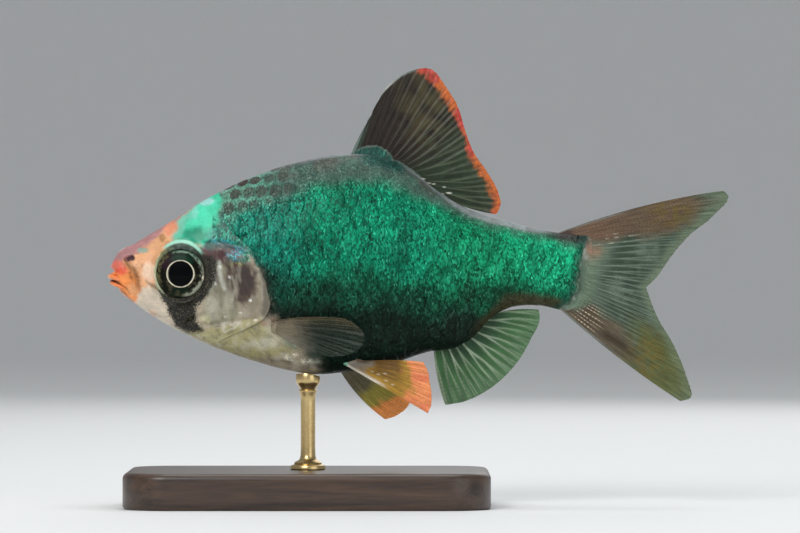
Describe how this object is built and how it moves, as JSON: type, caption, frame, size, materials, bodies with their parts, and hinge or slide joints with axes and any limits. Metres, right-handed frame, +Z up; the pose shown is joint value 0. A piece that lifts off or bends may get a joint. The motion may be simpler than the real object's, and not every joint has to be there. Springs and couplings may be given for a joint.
{
  "type": "tiger barb",
  "caption": "Still life-size model of a tiger barb in its moss green colour form, swimming level on a plain display stand.",
  "frame": {"origin": "middle of the whole model's box in X and Y, level with the underside of the stand's base", "axes": "+X towards the tail, the head faces -X; +Y towards the fish's right side; +Z up"},
  "size_m": [0.068, 0.026, 0.048],
  "materials": {
    "head_flesh": "moist, glossy skin, orange at the lips and silvery on the cheek",
    "gill_plate": "smooth silvery plate with a dark patch",
    "green_scales": "overlapping glittering green scales",
    "smoky_fin": "smoky translucent membrane between rays",
    "clear_fin": "clear greenish grey membrane between pale rays",
    "orange_fin": "orange membrane between pale rays",
    "eye": "polished, black pupil with a thin gold ring",
    "stand_wood": "dark stained and waxed",
    "stand_metal": "satin turned brass"
  },
  "bodies": {
    "root": {"head": "head_flesh", "lower_jaw": "head_flesh", "gill_cover_left": "gill_plate", "gill_cover_right": "gill_plate", "trunk": "green_scales", "tail_stalk": "green_scales", "eye_left": "eye", "eye_right": "eye", "dorsal_fin": "smoky_fin", "caudal_fin_upper": "clear_fin", "caudal_fin_lower": "clear_fin", "anal_fin": "clear_fin", "pelvic_fin_left": "orange_fin", "pelvic_fin_right": "orange_fin", "pectoral_fin_left": "smoky_fin", "pectoral_fin_right": "smoky_fin", "stand_base": "stand_wood", "stand_rod": "stand_metal"}
  },
  "joints": []
}
